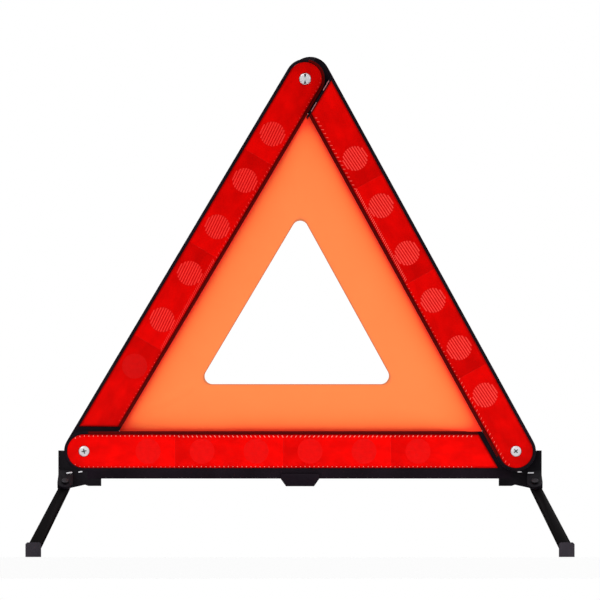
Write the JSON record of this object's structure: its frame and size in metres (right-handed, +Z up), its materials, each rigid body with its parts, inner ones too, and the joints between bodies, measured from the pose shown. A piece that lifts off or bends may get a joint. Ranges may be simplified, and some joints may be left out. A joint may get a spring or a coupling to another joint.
{
  "type": "folding warning triangle",
  "caption": "Folding roadside warning triangle: red reflector arms pinned at the lower corners, fluorescent cloth screen with a triangular window, and folding legs.",
  "frame": {"origin": "on the ground under the middle of the open triangle, half way between the lower pivots", "axes": "+X to the right seen from the front, +Y to the back, +Z up; the reflectors face -Y"},
  "size_m": [0.5086, 0.175, 0.4633],
  "materials": {
    "frame": "fine satin moulded black",
    "lens": "transparent-looking red prismatic reflector, glossy",
    "cloth": "fluorescent orange plain weave",
    "steel": "bright plated screw heads, nuts, stud and pins",
    "leg": "dark satin",
    "pad": "dull dark grey"
  },
  "bodies": {
    "base": {"base_arm_frame": "frame", "base_arm_lens": "lens", "base_cloth_strip": "frame", "base_cloth": "cloth", "left_pivot_screw": "steel", "left_pivot_nut": "steel", "right_pivot_screw": "steel", "right_pivot_nut": "steel", "left_bracket": "frame", "right_bracket": "frame", "middle_clip": "frame", "left_front_leg_pin": "steel", "left_rear_leg_pin": "steel", "right_front_leg_pin": "steel", "right_rear_leg_pin": "steel"},
    "left_arm": {"left_arm_frame": "frame", "left_arm_lens": "lens", "left_cloth_strip": "frame", "left_cloth": "cloth", "top_snap_stud": "steel"},
    "right_arm": {"right_arm_frame": "frame", "right_arm_lens": "lens", "right_cloth_strip": "frame", "right_cloth": "cloth", "right_arm_tongue": "frame"},
    "left_front_leg": {"left_front_leg": "leg", "left_front_foot_pad": "pad"},
    "left_rear_leg": {"left_rear_leg": "leg", "left_rear_foot_pad": "pad"},
    "right_front_leg": {"right_front_leg": "leg", "right_front_foot_pad": "pad"},
    "right_rear_leg": {"right_rear_leg": "leg", "right_rear_foot_pad": "pad"}
  },
  "joints": [
    {"name": "left_arm_fold", "type": "hinge", "parent": "base", "child": "left_arm", "pos_m": [-0.2, 0.0078, 0.098], "axis": [0, 0.9999, 0.0113], "range_deg": [0, 59.3], "deforming": ["left_cloth", "base_cloth"]},
    {"name": "right_arm_fold", "type": "hinge", "parent": "base", "child": "right_arm", "pos_m": [0.2, -0.0078, 0.098], "axis": [0, -0.9999, 0.0113], "range_deg": [0, 61.2], "deforming": ["right_cloth", "right_arm_tongue"]},
    {"name": "left_front_leg_fold", "type": "hinge", "parent": "base", "child": "left_front_leg", "pos_m": [-0.2175, -0.012, 0.065], "axis": [0, -0.6489, 0.7608], "range_deg": [0, 108.2]},
    {"name": "left_rear_leg_fold", "type": "hinge", "parent": "base", "child": "left_rear_leg", "pos_m": [-0.2175, 0.012, 0.065], "axis": [0, 0.6489, 0.7608], "range_deg": [-108.2, 0]},
    {"name": "right_front_leg_fold", "type": "hinge", "parent": "base", "child": "right_front_leg", "pos_m": [0.2175, -0.012, 0.065], "axis": [0, -0.6489, 0.7608], "range_deg": [-108.2, 0]},
    {"name": "right_rear_leg_fold", "type": "hinge", "parent": "base", "child": "right_rear_leg", "pos_m": [0.2175, 0.012, 0.065], "axis": [0, 0.6489, 0.7608], "range_deg": [0, 108.2]}
  ]
}
